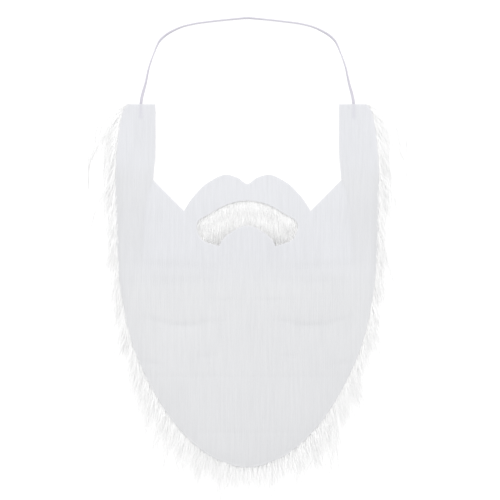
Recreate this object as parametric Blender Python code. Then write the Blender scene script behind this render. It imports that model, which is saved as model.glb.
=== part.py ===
"""A fake beard with its moustache, lying flat with the fur down and the backing cloth up.

Three pieces: the knitted backing cloth, the deep fur under it, and the flat elastic strap.
The origin is on the floor, under the middle of the beard. +Y runs from the chin to the sideburns.
Tables are in millimetres, and are turned into metres where a mesh or a curve is made.
"""

import math

import bmesh
import bpy
from mathutils import Matrix

MM = 0.001

# Heights above the floor, in millimetres
SIDEBURN_TOP_Z = 12.0
CHEEK_RISE = 5.5
CLOTH_THICKNESS = 1.2
PIECE_GAP = 0.3
PILE_BOTTOM_Z = 3.6

# The cloth's rim sinks towards the floor, because the pile under it spreads
RIM_DROP = 4.6
RIM_REACH = 13.0
FLAT_ABOVE_Y = 150.0
FULL_BELOW_Y = 96.0

# The grid that gives the cloth and the pile the same relief
GRID_WIDTH = 280.0
GRID_LOW_Y = -168.0
GRID_HIGH_Y = 210.0
GRID_CELL = 14.0

# Right half of the cut cloth, as x and y, in stretches that meet at corners
OUTER_EDGE = (
    (0.0, -161.5), (26.0, -155.0), (46.0, -144.0), (67.0, -124.0), (85.0, -100.0),
    (103.0, -67.0), (116.0, -34.0), (124.0, 1.0), (129.0, 36.0), (131.5, 81.0),
    (131.5, 136.0), (128.5, 174.0), (124.5, 195.0),
)
SIDEBURN_CORNER = (119.5, 202.0)
INNER_EDGE = ((91.7, 202.0), (91.7, 156.0), (92.7, 142.0), (94.0, 126.0))
MOUSTACHE_EDGE = (
    (0.0, 122.0), (4.0, 124.0), (9.0, 128.0), (20.0, 131.5), (27.5, 130.0),
    (38.5, 124.0), (46.0, 118.0), (56.5, 106.0), (63.2, 95.0),
)
MOUTH_UPPER_EDGE = (
    (0.0, 105.5), (12.0, 104.0), (24.0, 100.0), (36.0, 93.0), (48.0, 86.0),
    (50.5, 78.5), (47.0, 68.5), (41.5, 64.0), (35.0, 62.0), (28.0, 60.0),
)
MOUTH_LOWER_EDGE = (
    (0.0, 80.5), (8.0, 78.5), (14.0, 75.0), (20.0, 71.0), (25.0, 66.0), (28.0, 60.0),
)

# Broad folds of the cloth: middle x and y, direction, half length, half width, depth
FOLDS = (
    (103.0, 84.0, 86.0, 60.0, 11.0, 1.6),
    (66.0, -20.0, 176.0, 40.0, 11.0, 1.4),
    (0.0, 40.0, 0.0, 60.0, 12.0, 1.0),
)

# Fur fringe along the outer edge, from the chin to the top of the sideburn:
# share of the edge, lean at the root and at the tip in degrees from straight down, length
FRINGE = (
    (0.00, 0.0, 0.0, 56.5),
    (0.12, 12.0, 4.0, 57.0),
    (0.22, 24.0, 10.0, 60.0),
    (0.34, 32.0, 12.0, 66.0),
    (0.48, 28.0, 5.0, 70.0),
    (0.62, 21.0, 4.0, 70.0),
    (0.78, 32.0, 5.0, 68.0),
    (0.90, 60.0, 10.0, 58.0),
    (1.00, 100.0, 22.0, 48.0),
)
FRINGE_PITCH = 15.5
FRINGE_INSET = 15.0
FRINGE_HALF_WIDTH = 9.0
FRINGE_ROOT_Z = 6.4
FRINGE_TIP_Z = 2.0

# Rows of locks on the face side: y of the roots, lowest and highest |x|, number on each side
ROWS = (
    (198.0, 105.0, 105.0, 1),
    (162.0, 106.0, 106.0, 1),
    (126.0, 106.0, 106.0, 1),
    (98.0, 76.0, 110.0, 2),
    (64.0, 62.0, 112.0, 3),
    (26.0, 12.0, 108.0, 5),
    (-12.0, 11.0, 98.0, 5),
    (-50.0, 12.0, 88.0, 4),
    (-88.0, 11.0, 64.0, 3),
    (-122.0, 12.0, 36.0, 2),
)
ROW_LOCK_LENGTH = 62.0
ROW_LEAN_AT_EDGE = 16.0
ROW_HALF_WIDTH = 11.0
ROW_ROOT_Z = 4.6
ROW_TIP_Z = 2.2

# Moustache locks, which cross behind the mouth hole
MOUSTACHE_LOCKS = 4
MOUSTACHE_ROOT_Y = 112.0
MOUSTACHE_SPAN = 46.0
MOUSTACHE_LENGTH = 72.0
MOUSTACHE_LEAN = 14.0
MOUSTACHE_HALF_WIDTH = 8.5

# A lock is a strip: its width along its length, and its thickness over its width
FRINGE_OUTLINE = (0.7, 1.0, 0.96, 0.64, 0.12)
ROW_OUTLINE = (0.75, 1.0, 0.82, 0.16)
LOCK_FLATNESS = 0.4

# Right half of the strap from its sewn end to the top of its arch: x, y, z, twist in degrees
STRAP_ROUTE = (
    (106.6, 188.0, 10.0, 0.0),
    (106.5, 195.0, 10.0, 0.0),
    (106.4, 202.0, 10.0, 0.0),
    (105.9, 207.0, 9.5, 8.0),
    (104.9, 212.0, 7.7, 22.0),
    (103.3, 218.0, 4.7, 42.0),
    (101.8, 224.0, 2.6, 56.0),
    (100.6, 230.0, 1.75, 64.0),
    (99.4, 236.0, 1.6, 72.0),
    (97.8, 242.0, 1.6, 80.0),
    (95.8, 248.0, 1.6, 87.0),
    (93.4, 254.0, 1.6, 88.0),
    (91.0, 260.0, 1.6, 78.0),
    (87.6, 266.2, 1.6, 62.0),
    (81.2, 272.0, 1.6, 57.0),
    (73.0, 276.7, 1.6, 64.0),
    (65.0, 280.1, 1.6, 74.0),
    (57.0, 282.2, 1.6, 78.0),
    (49.0, 283.7, 1.6, 78.0),
    (33.0, 285.7, 1.6, 78.0),
    (17.0, 287.4, 1.6, 76.0),
    (8.0, 288.2, 1.6, 72.0),
    (0.0, 288.8, 1.6, 68.0),
)
STRAP_WIDTH = 3.0
STRAP_THICKNESS = 1.0
STRAP_STEP = 8.4
GROOVE_CLEARANCE = 0.3


def clear_scene():
    for thing in list(bpy.data.objects):
        bpy.data.objects.remove(thing, do_unlink=True)


def new_collection(name):
    collection = bpy.data.collections.new(name)
    bpy.context.scene.collection.children.link(collection)
    return collection


def principled(name, colour, roughness):
    material = bpy.data.materials.new(name)
    material.use_nodes = True
    shader = material.node_tree.nodes["Principled BSDF"]
    shader.inputs["Base Color"].default_value = (*colour, 1.0)
    shader.inputs["Roughness"].default_value = roughness
    shader.inputs["Metallic"].default_value = 0.0
    return material


def smooth_step(low, high, value):
    share = min(max((value - low) / (high - low), 0.0), 1.0)
    return share * share * (3.0 - 2.0 * share)


def smooth_path(points, steps):
    """Points on a Catmull-Rom curve through the given ones, in any number of dimensions."""
    padded = [points[0]] + list(points) + [points[-1]]
    path = []
    for before, start, end, after in zip(padded, padded[1:], padded[2:], padded[3:]):
        for step in range(steps):
            t = step / steps
            path.append(tuple(
                0.5 * (2 * b + (c - a) * t + (2 * a - 5 * b + 4 * c - d) * t * t
                       + (3 * b - a - 3 * c + d) * t * t * t)
                for a, b, c, d in zip(before, start, end, after)))
    return path + [tuple(points[-1])]


def even_path(points, pitch):
    """The same path with evenly spaced points, about one pitch apart."""
    lengths = [math.dist(a[:3], b[:3]) for a, b in zip(points, points[1:])]
    count = max(round(sum(lengths) / pitch), 1)
    spaced = [points[0]]
    for index in range(1, count):
        left = sum(lengths) * index / count
        segment = 0
        while left > lengths[segment]:
            left -= lengths[segment]
            segment += 1
        share = left / lengths[segment]
        pair = zip(points[segment], points[segment + 1])
        spaced.append(tuple(a + (b - a) * share for a, b in pair))
    return spaced + [points[-1]]


def mirrored(points):
    """A stretch that starts on the middle line, with its left half put before it."""
    left = [(-point[0], *point[1:]) for point in reversed(points) if point[0] > 0.0]
    return left + list(points)


def cloth_ring():
    """The cut line of the cloth, once round, from the left sideburn by way of the chin."""
    right = [SIDEBURN_CORNER] + list(INNER_EDGE)
    left = [(-x, y) for x, y in reversed(right)]
    return smooth_path(mirrored(OUTER_EDGE), 2) + right + mirrored(MOUSTACHE_EDGE)[::-1] + left


def mouth_ring():
    return mirrored(MOUTH_UPPER_EDGE) + mirrored(MOUTH_LOWER_EDGE)[::-1][1:-1]


def segment_distance(x, y, start, end):
    run_x, run_y = end[0] - start[0], end[1] - start[1]
    share = ((x - start[0]) * run_x + (y - start[1]) * run_y) / (run_x ** 2 + run_y ** 2)
    share = min(max(share, 0.0), 1.0)
    return math.hypot(x - start[0] - share * run_x, y - start[1] - share * run_y)


def rim_distance(x, y):
    """How far in from the cloth's outer edge a point lies."""
    edge = zip(OUTER_EDGE, OUTER_EDGE[1:])
    return min(segment_distance(abs(x), y, start, end) for start, end in edge)


def fold_depth(x, y):
    depth = 0.0
    for middle_x, middle_y, turn, half_length, half_width, deepest in FOLDS:
        angle = math.radians(turn)
        off_x, off_y = abs(x) - middle_x, y - middle_y
        along = (off_x * math.cos(angle) + off_y * math.sin(angle)) / half_length
        across = (off_y * math.cos(angle) - off_x * math.sin(angle)) / half_width
        depth += deepest * math.exp(-along * along - across * across)
    return depth


def cloth_top(x, y):
    """Height of the cloth's upper side: flat at the sideburns, crowned over the chin."""
    crowned = smooth_step(FLAT_ABOVE_Y, FULL_BELOW_Y, y)
    drop = RIM_DROP * math.exp(-rim_distance(x, y) / RIM_REACH)
    return SIDEBURN_TOP_Z + crowned * (CHEEK_RISE - drop - fold_depth(x, y))


def cloth_underside(x, y):
    return cloth_top(x, y) - CLOTH_THICKNESS


def pile_top(x, y):
    return cloth_underside(x, y) - PIECE_GAP


def pile_bottom(x, y):
    return PILE_BOTTOM_Z


def mesh_object(name, mesh, collection):
    thing = bpy.data.objects.new(name, mesh)
    collection.objects.link(thing)
    return thing


def curve_object(name, data, collection):
    """The curve as a closed mesh: a Boolean takes no curve, and a curve's caps are loose."""
    guide = mesh_object(name + "_curve", data, collection)
    bpy.context.view_layer.update()
    depsgraph = bpy.context.evaluated_depsgraph_get()
    mesh = bpy.data.meshes.new_from_object(guide.evaluated_get(depsgraph))
    shape = bmesh.new()
    shape.from_mesh(mesh)
    bmesh.ops.remove_doubles(shape, verts=shape.verts, dist=0.000001)
    bmesh.ops.recalc_face_normals(shape, faces=shape.faces)
    shape.to_mesh(mesh)
    shape.free()
    thing = mesh_object(name, mesh, collection)
    thing.matrix_world = guide.matrix_world
    bpy.data.objects.remove(guide, do_unlink=True)
    return thing


def add_poly_spline(curve, points, radii, closed=False):
    spline = curve.splines.new("POLY")
    spline.points.add(len(points) - 1)
    for target, point, radius in zip(spline.points, points, radii):
        target.co = (*(value * MM for value in point[:3]), 1.0)
        target.radius = radius
    spline.use_cyclic_u = closed
    return spline


def outline_prism(name, rings, half_height, collection):
    """An upright prism from flat outlines, where an inner ring leaves a hole."""
    curve = bpy.data.curves.new(name, "CURVE")
    curve.dimensions = "2D"
    curve.fill_mode = "BOTH"
    curve.extrude = half_height * MM
    for ring in rings:
        points = [(x, y, 0.0) for x, y in ring]
        add_poly_spline(curve, points, [1.0] * len(points), closed=True)
    return curve_object(name, curve, collection)


def relief_slab(name, top, bottom, collection):
    """A slab whose top and bottom follow two height functions, on one shared grid."""
    columns = round(GRID_WIDTH / GRID_CELL)
    rows = round((GRID_HIGH_Y - GRID_LOW_Y) / GRID_CELL)
    size = Matrix.Diagonal((GRID_WIDTH / 2, (GRID_HIGH_Y - GRID_LOW_Y) / 2, 1.0, 1.0))
    place = Matrix.Translation((0.0, (GRID_HIGH_Y + GRID_LOW_Y) / 2, 0.0))
    slab = bmesh.new()
    bmesh.ops.create_grid(slab, x_segments=columns, y_segments=rows, size=1.0, matrix=place @ size)
    bmesh.ops.triangulate(slab, faces=slab.faces, quad_method="ALTERNATE")
    base = list(slab.verts)
    raised = bmesh.ops.extrude_face_region(slab, geom=list(slab.faces))["geom"]
    lifted = [part for part in raised if isinstance(part, bmesh.types.BMVert)]
    for vert in lifted:
        vert.co.z = top(vert.co.x, vert.co.y)
    for vert in base:
        vert.co.z = bottom(vert.co.x, vert.co.y)
    bmesh.ops.scale(slab, vec=(MM, MM, MM), verts=slab.verts)
    bmesh.ops.recalc_face_normals(slab, faces=slab.faces)
    mesh = bpy.data.meshes.new(name)
    slab.to_mesh(mesh)
    slab.free()
    return mesh_object(name, mesh, collection)


def combine(target, tool, operation, crossing=False):
    modifier = target.modifiers.new(operation.lower(), "BOOLEAN")
    modifier.operation = operation
    modifier.solver = "EXACT"
    modifier.use_self = crossing
    modifier.object = tool


def lock_spine(root, root_lean, tip_lean, length, root_z, tip_z, steps):
    """A lock's middle line: it leaves its root at one lean, and turns to another."""
    x, y = root
    spine = []
    for step in range(steps + 1):
        share = step / steps
        spine.append((x, y, root_z + (tip_z - root_z) * share))
        lean = math.radians(root_lean + (tip_lean - root_lean) * (step + 0.5) / steps)
        x += math.sin(lean) * length / steps
        y -= math.cos(lean) * length / steps
    return spine


def table_value(table, share):
    """One row of a table, read between its rows by its first column."""
    for low, high in zip(table, table[1:]):
        if share <= high[0]:
            part = (share - low[0]) / (high[0] - low[0])
            return tuple(a + (b - a) * part for a, b in zip(low, high))
    return table[-1]


def fringe_locks():
    edge = even_path(smooth_path(OUTER_EDGE, 6), FRINGE_PITCH)
    locks = []
    for index in range(len(edge) - 1):
        (x1, y1), (x2, y2) = edge[index], edge[index + 1]
        run = math.hypot(x2 - x1, y2 - y1)
        root = ((x1 + x2) / 2 - (y2 - y1) / run * FRINGE_INSET,
                (y1 + y2) / 2 + (x2 - x1) / run * FRINGE_INSET)
        row = table_value(FRINGE, (index + 0.5) / (len(edge) - 1))
        steps = len(FRINGE_OUTLINE) - 1
        spine = lock_spine(root, row[1], row[2], row[3], FRINGE_ROOT_Z, FRINGE_TIP_Z, steps)
        locks.append((spine, [FRINGE_HALF_WIDTH * part for part in FRINGE_OUTLINE]))
    return locks


def face_lock(root, lean, length, half_width):
    steps = len(ROW_OUTLINE) - 1
    spine = lock_spine(root, lean, lean, length, ROW_ROOT_Z, ROW_TIP_Z, steps)
    return spine, [half_width * part for part in ROW_OUTLINE]


def row_locks():
    locks = []
    for y, low_x, high_x, count in ROWS:
        for index in range(count):
            x = low_x + (high_x - low_x) * index / max(count - 1, 1)
            lean = ROW_LEAN_AT_EDGE * x / high_x
            locks.append(face_lock((x, y), lean, ROW_LOCK_LENGTH, ROW_HALF_WIDTH))
    return locks


def moustache_locks():
    locks = []
    for index in range(MOUSTACHE_LOCKS):
        share = (index + 0.5) / MOUSTACHE_LOCKS
        lean = MOUSTACHE_LEAN * share
        root = (MOUSTACHE_SPAN * share, MOUSTACHE_ROOT_Y)
        locks.append(face_lock(root, lean, MOUSTACHE_LENGTH, MOUSTACHE_HALF_WIDTH))
    return locks


def lock_bundle(collection):
    """All the locks of both sides: tapered tubes, flattened into strips."""
    curve = bpy.data.curves.new("locks", "CURVE")
    curve.dimensions = "3D"
    curve.bevel_depth = MM
    curve.bevel_resolution = 1
    curve.use_fill_caps = True
    for spine, radii in fringe_locks() + row_locks() + moustache_locks():
        for side in (1.0, -1.0):
            points = [(side * x, y, z / LOCK_FLATNESS) for x, y, z in spine]
            add_poly_spline(curve, points, radii)
    bundle = curve_object("locks", curve, collection)
    bundle.data.transform(Matrix.Diagonal((1.0, 1.0, LOCK_FLATNESS, 1.0)))
    return bundle


def strap_band(name, width, thickness, route, collection):
    """A flat band swept along the route, turned about it by the route's twist."""
    profile = bpy.data.curves.new(name + "_profile", "CURVE")
    profile.dimensions = "2D"
    round_off = thickness * 0.3
    corners = []
    for turn_x, turn_y in ((1, -1), (1, 1), (-1, 1), (-1, -1)):
        near_side = (turn_x * width / 2, turn_y * (thickness / 2 - round_off), 0.0)
        near_face = (turn_x * (width / 2 - round_off), turn_y * thickness / 2, 0.0)
        pair = [near_side, near_face] if turn_x == turn_y else [near_face, near_side]
        corners += pair
    add_poly_spline(profile, corners, [1.0] * len(corners), closed=True)
    section = mesh_object(name + "_profile", profile, collection)
    section.hide_render = True

    curve = bpy.data.curves.new(name, "CURVE")
    curve.dimensions = "3D"
    curve.twist_mode = "Z_UP"
    curve.bevel_mode = "OBJECT"
    curve.bevel_object = section
    curve.use_fill_caps = True
    spline = add_poly_spline(curve, route, [1.0] * len(route))
    for target, point in zip(spline.points, route):
        target.tilt = math.radians(point[3])
    band = curve_object(name, curve, collection)
    bpy.data.objects.remove(section, do_unlink=True)
    return band


def drop_sealed_hollows(thing):
    """Fills any pocket shut in between locks, by deleting its inward-facing shell."""
    shape = bmesh.new()
    shape.from_mesh(thing.data)
    unseen = set(shape.faces)
    while unseen:
        shell = set()
        front = [unseen.pop()]
        while front:
            face = front.pop()
            shell.add(face)
            for edge in face.edges:
                for other in edge.link_faces:
                    if other in unseen:
                        unseen.remove(other)
                        front.append(other)
        volume = sum(face.calc_center_median().dot(face.normal) * face.calc_area() for face in shell)
        if volume <= 0.0:
            bmesh.ops.delete(shape, geom=list(shell), context="FACES")
    shape.to_mesh(thing.data)
    shape.free()


def bake(thing):
    """Turns a shape with modifiers into a plain mesh."""
    bpy.context.view_layer.update()
    depsgraph = bpy.context.evaluated_depsgraph_get()
    mesh = bpy.data.meshes.new_from_object(thing.evaluated_get(depsgraph))
    thing.modifiers.clear()
    thing.data = mesh


def make_backing(beard, tools):
    cloth = relief_slab("backing", cloth_top, cloth_underside, beard)
    prism = outline_prism("cloth_cut", [cloth_ring(), mouth_ring()], 40.0, tools)
    combine(cloth, prism, "INTERSECT")
    cloth.data.materials.append(principled("backing_cloth", (0.78, 0.79, 0.83), 0.9))
    return cloth


def make_fur(beard, tools, groove):
    fur = relief_slab("beard_fur", pile_top, pile_bottom, beard)
    prism = outline_prism("pile_cut", [cloth_ring(), mouth_ring()], 40.0, tools)
    combine(fur, prism, "INTERSECT")
    combine(fur, lock_bundle(tools), "UNION", crossing=True)
    floor = bmesh.new()
    bmesh.ops.create_cube(floor, size=1.0)
    mesh = bpy.data.meshes.new("floor_cut")
    floor.to_mesh(mesh)
    floor.free()
    block = mesh_object("floor_cut", mesh, tools)
    block.location = (0.0, 0.0, -0.5)
    combine(fur, block, "DIFFERENCE")
    combine(fur, groove, "DIFFERENCE", crossing=True)
    bake(fur)
    drop_sealed_hollows(fur)
    fur.data.materials.clear()
    fur.data.materials.append(principled("white_fur", (0.92, 0.92, 0.92), 0.7))
    return fur


def make_strap(beard):
    route = even_path(smooth_path(mirrored(STRAP_ROUTE[::-1]), 8), STRAP_STEP)
    band = strap_band("elastic_strap", STRAP_WIDTH, STRAP_THICKNESS, route, beard)
    band.data.materials.append(principled("elastic_webbing", (0.68, 0.66, 0.78), 0.75))
    return band


def make_groove(tools):
    """Room in the pile for the strap's two ends, which lie between pile and cloth."""
    clearance = 2 * GROOVE_CLEARANCE
    ends = []
    for side in (1.0, -1.0):
        tail = [(side * x, y, z, twist) for x, y, z, twist in STRAP_ROUTE[:3]]
        tail[0] = (tail[0][0], tail[0][1] - GROOVE_CLEARANCE, *tail[0][2:])
        tail[-1] = (tail[-1][0], tail[-1][1] + 2.0, *tail[-2][2:])
        ends.append(strap_band("groove", STRAP_WIDTH + clearance,
                               STRAP_THICKNESS + 2 * clearance, tail, tools))
    first, second = ends
    shape = bmesh.new()
    shape.from_mesh(first.data)
    shape.from_mesh(second.data)
    shape.to_mesh(first.data)
    shape.free()
    bpy.data.objects.remove(second, do_unlink=True)
    return first


def main():
    clear_scene()
    beard = new_collection("fake_beard")
    tools = new_collection("cutters")
    make_backing(beard, tools)
    make_fur(beard, tools, make_groove(tools))
    make_strap(beard)
    for tool in tools.objects:
        tool.hide_render = True
        tool.display_type = "WIRE"


main()
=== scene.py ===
# %% [markdown]
# # A white fake beard, lying on its fur
#
# A costume beard is one cut piece of long-pile fur cloth. Its knitted back lies against the face, its pile
# hangs in front, and a flat elastic goes round the head. Here it lies on its pile with the knit upwards, so
# the knit fills the picture and the fur shows as a fringe round it and through the mouth hole.
#
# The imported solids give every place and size. Each one is covered by finer pieces that keep its form: the
# cloth is a thin sheet cut from the same outline, the fur is about twenty-five thousand strands grown
# in locks, and the elastic is a ribbed band on the same route.

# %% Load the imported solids
import math
import random

import bmesh
import bpy
from mathutils import Matrix, Vector, geometry, noise


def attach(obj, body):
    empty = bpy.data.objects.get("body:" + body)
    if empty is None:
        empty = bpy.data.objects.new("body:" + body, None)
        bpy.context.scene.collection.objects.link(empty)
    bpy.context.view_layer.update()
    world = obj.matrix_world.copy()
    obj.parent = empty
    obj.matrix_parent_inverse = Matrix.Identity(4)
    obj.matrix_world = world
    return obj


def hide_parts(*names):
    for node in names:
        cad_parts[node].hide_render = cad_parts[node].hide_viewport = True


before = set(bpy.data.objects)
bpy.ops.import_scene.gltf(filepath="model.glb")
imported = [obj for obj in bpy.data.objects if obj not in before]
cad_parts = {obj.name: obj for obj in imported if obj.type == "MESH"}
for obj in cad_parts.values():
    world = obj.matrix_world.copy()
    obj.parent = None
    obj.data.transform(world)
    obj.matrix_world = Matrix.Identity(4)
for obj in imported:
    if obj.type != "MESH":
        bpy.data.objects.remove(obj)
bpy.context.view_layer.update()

BODY = "root"
MM = 0.001

# %% [markdown]
# ## Paths
#
# The tables of this file are in millimetres, like a maker's drawing, and are mirrored about the middle
# line. Two helpers turn a short list of points into a smooth line: one rounds it, and one spaces its points
# evenly, so that a mesh made from it has cells of one size.

# %% Smooth and even paths
def mirrored(points):
    """A stretch that starts on the middle line, with its left half put before it."""
    left = [(-point[0], *point[1:]) for point in reversed(points) if point[0] > 0.0]
    return left + list(points)


def smooth_path(points, steps):
    """Points on a Catmull-Rom curve through the given ones, in any number of dimensions."""
    padded = [points[0]] + list(points) + [points[-1]]
    path = []
    for before, start, end, after in zip(padded, padded[1:], padded[2:], padded[3:]):
        for step in range(steps):
            t = step / steps
            path.append(tuple(
                0.5 * (2 * b + (c - a) * t + (2 * a - 5 * b + 4 * c - d) * t * t
                       + (3 * b - a - 3 * c + d) * t * t * t)
                for a, b, c, d in zip(before, start, end, after)))
    return path + [tuple(points[-1])]


def even_path(points, pitch, measured=3):
    """The same path with evenly spaced points, about one pitch apart in its first dimensions."""
    lengths = [math.dist(a[:measured], b[:measured]) for a, b in zip(points, points[1:])]
    count = max(round(sum(lengths) / pitch), 1)
    spaced = [points[0]]
    segment = 0
    passed = 0.0
    for index in range(1, count):
        reach = sum(lengths) * index / count
        while passed + lengths[segment] < reach:
            passed += lengths[segment]
            segment += 1
        share = (reach - passed) / lengths[segment]
        pair = zip(points[segment], points[segment + 1])
        spaced.append(tuple(a + (b - a) * share for a, b in pair))
    return spaced + [points[-1]]


def smooth_step(low, high, value):
    share = min(max((value - low) / (high - low), 0.0), 1.0)
    return share * share * (3.0 - 2.0 * share)


# %% [markdown]
# ## The camera, the floor and the light
#
# The beard is photographed from straight above, in very even light. A long lens from four metres up keeps
# the fringe from leaning outwards. The floor is a lit white sheet, which washes out and sends light up
# through the fur. A bright sky fills every fold, and one wide soft lamp beyond the sideburns gives the
# folds a slightly lit and a slightly darker side.

# %% Camera, floor and lamps
PICTURE_WIDTH = 0.5
CAMERA_HEIGHT = 4.0
CLOTH_LEVEL = 0.014
PICTURE_CENTRE = (0.0027, 0.056)
SENSOR_MM = 36.0
FLOOR_GLOW = 0.3
FLOOR_HALF_WIDTH = 6.0


def placed(name, data):
    """A new object in the scene, at the origin."""
    thing = bpy.data.objects.new(name, data)
    bpy.context.scene.collection.objects.link(thing)
    return thing


camera_data = bpy.data.cameras.new("camera")
camera_data.sensor_width = SENSOR_MM
camera_data.lens = SENSOR_MM * CAMERA_HEIGHT / PICTURE_WIDTH
camera_data.clip_end = 100.0
camera = placed("camera", camera_data)
camera.location = (*PICTURE_CENTRE, CAMERA_HEIGHT + CLOTH_LEVEL)
bpy.context.scene.camera = camera

floor_mesh = bpy.data.meshes.new("floor")
floor_shape = bmesh.new()
bmesh.ops.create_grid(floor_shape, x_segments=1, y_segments=1, size=FLOOR_HALF_WIDTH)
floor_shape.to_mesh(floor_mesh)
floor_shape.free()
floor = placed("floor", floor_mesh)


def soft_lamp(name, place, aim, size, watts):
    """A round lamp of the given width, turned towards a point."""
    lamp = bpy.data.lights.new(name, "AREA")
    lamp.shape = "DISK"
    lamp.size = size
    lamp.energy = watts
    stand = placed(name, lamp)
    stand.location = place
    stand.rotation_mode = "QUATERNION"
    stand.rotation_quaternion = (Vector(aim) - Vector(place)).to_track_quat("-Z", "Y")


SKY_STRENGTH = 1.12
LAMP_WATTS = 20.0
LAMP_WIDTH = 1.4
LAMP_PLACE = (0.0, 1.5, 2.2)
BEARD_MIDDLE = (0.0, 0.0, 0.0)
soft_lamp("soft lamp", LAMP_PLACE, BEARD_MIDDLE, LAMP_WIDTH, LAMP_WATTS)
sky = bpy.data.worlds.new("sky")
sky.use_nodes = True
sky_light = sky.node_tree.nodes["Background"].inputs
sky_light["Color"].default_value = (1.0, 1.0, 1.0, 1.0)
sky_light["Strength"].default_value = SKY_STRENGTH
bpy.context.scene.world = sky
bpy.context.scene.view_settings.view_transform = "Standard"
print("lens in mm:", round(camera_data.lens))

# %% [markdown]
# ## Node trees written as sums
#
# A material and a strand generator are both trees of nodes. Written node by node they hide their formula,
# so a Term stands for one node's output and understands + - * / and a few functions: each adds one Math
# node. A Tree has one method that adds any other node. Sockets that share a name in one node are chosen
# by their number.

# %% Terms and trees
class Term:
    """A node's output, as a number in ordinary sums."""

    def __init__(self, tree, socket):
        self.tree = tree
        self.socket = socket

    def joined(self, operation, first, second=0.0, third=0.0):
        node = self.tree.nodes.new("ShaderNodeMath")
        node.operation = operation
        for place, term in zip(node.inputs, (first, second, third)):
            if isinstance(term, Term):
                self.tree.links.new(term.socket, place)
            else:
                place.default_value = term
        return Term(self.tree, node.outputs[0])

    def __add__(self, other):
        return self.joined("ADD", self, other)

    def __radd__(self, other):
        return self.joined("ADD", other, self)

    def __sub__(self, other):
        return self.joined("SUBTRACT", self, other)

    def __rsub__(self, other):
        return self.joined("SUBTRACT", other, self)

    def __mul__(self, other):
        return self.joined("MULTIPLY", self, other)

    def __rmul__(self, other):
        return self.joined("MULTIPLY", other, self)

    def __truediv__(self, other):
        return self.joined("DIVIDE", self, other)

    def __pow__(self, other):
        return self.joined("POWER", self, other)

    def sine(self):
        return self.joined("SINE", self)

    def cosine(self):
        return self.joined("COSINE", self)

    def size(self):
        return self.joined("ABSOLUTE", self)

    def at_least(self, limit):
        return self.joined("MAXIMUM", self, limit)

    def at_most(self, limit):
        return self.joined("MINIMUM", self, limit)

    def softly_within(self, low, high, blend):
        """Held between two limits, with a blend near each."""
        below = self.joined("SMOOTH_MIN", self, high, blend)
        return self.joined("SMOOTH_MAX", below, low, blend)


class Tree:
    """A node tree with one method that adds any node, its settings first."""

    def __init__(self, tree):
        self.tree = tree
        tree.nodes.clear()

    def add(self, kind, settings=None, inputs=None, output=0):
        node = self.tree.nodes.new(kind)
        for name, value in (settings or {}).items():
            setattr(node, name, value)
        for place, value in (inputs or {}).items():
            if isinstance(value, Term):
                self.tree.links.new(value.socket, node.inputs[place])
            else:
                node.inputs[place].default_value = value
        return Term(self.tree, node.outputs[output]) if len(node.outputs) else node


def new_material(name):
    material = bpy.data.materials.new(name)
    material.use_nodes = True
    return material, Tree(material.node_tree)


OBJECT_OUTPUT = 3
NUMBER_OUTPUT = 2
MIX_FACTOR, MIX_FIRST, MIX_SECOND, MIX_RESULT = 0, 6, 7, 2


def finish_material(tree, constants, varying):
    """Ends a material in one Principled shader: plain numbers stay on its own sockets."""
    shader = tree.add("ShaderNodeBsdfPrincipled", None, {**constants, **varying})
    tree.add("ShaderNodeOutputMaterial", None, {"Surface": shader})


def object_place(tree):
    """The X, Y and Z of a point of the piece, in metres."""
    place = tree.add("ShaderNodeTexCoord", output=OBJECT_OUTPUT)
    axes = [tree.add("ShaderNodeSeparateXYZ", None, {"Vector": place}, axis) for axis in range(3)]
    return place, axes


def stored_number(tree, name):
    """The number of this name that is stored on the piece's points."""
    return tree.add("ShaderNodeAttribute", {"attribute_name": name}, None, NUMBER_OUTPUT)


def mixed_colour(tree, share, first, second):
    """The first colour where the share is 0 and the second where it is 1."""
    return tree.add("ShaderNodeMix", {"data_type": "RGBA"},
                    {MIX_FACTOR: share, MIX_FIRST: first, MIX_SECOND: second}, MIX_RESULT)


floor_material, floor_tree = new_material("white_floor")
_, floor_axes = object_place(floor_tree)
floor_x, floor_y, _ = floor_axes
floor_far = (floor_x * floor_x + floor_y * floor_y) / FLOOR_HALF_WIDTH ** 2
floor_colour = mixed_colour(
    floor_tree, floor_far.at_most(1.0), (0.70, 0.70, 0.70, 1.0), (0.68, 0.68, 0.68, 1.0))
finish_material(
    floor_tree,
    {"Roughness": 0.9, "Emission Color": (1.0, 1.0, 1.0, 1.0), "Emission Strength": FLOOR_GLOW},
    {"Base Color": floor_colour})
floor_mesh.materials.append(floor_material)

# %% [markdown]
# ## The elastic strap
#
# A flat braided elastic, 3 mm wide, is sewn under the tops of both sideburns. It drops off the cloth's edge
# to the floor and stands there half on its side, because a flat band can only turn in its own plane by
# twisting. The route's columns are x, y, z and the twist in degrees, and it is swept with a ribbed section.

# %% The strap's route
STRAP_ROUTE = (
    (106.6, 188.0, 10.0, 0.0),
    (106.5, 195.0, 10.0, 0.0),
    (106.4, 202.0, 10.0, 0.0),
    (105.9, 207.0, 9.5, 8.0),
    (104.9, 212.0, 7.7, 22.0),
    (103.3, 218.0, 4.7, 42.0),
    (101.8, 224.0, 2.6, 56.0),
    (100.6, 230.0, 1.75, 64.0),
    (99.4, 236.0, 1.6, 72.0),
    (97.8, 242.0, 1.6, 80.0),
    (95.8, 248.0, 1.6, 87.0),
    (93.4, 254.0, 1.6, 88.0),
    (91.0, 260.0, 1.6, 78.0),
    (87.6, 266.2, 1.6, 62.0),
    (81.2, 272.0, 1.6, 57.0),
    (73.0, 276.7, 1.6, 64.0),
    (65.0, 280.1, 1.6, 74.0),
    (57.0, 282.2, 1.6, 78.0),
    (49.0, 283.7, 1.6, 78.0),
    (33.0, 285.7, 1.6, 78.0),
    (17.0, 287.4, 1.6, 76.0),
    (8.0, 288.2, 1.6, 72.0),
    (0.0, 288.8, 1.6, 68.0),
)
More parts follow.
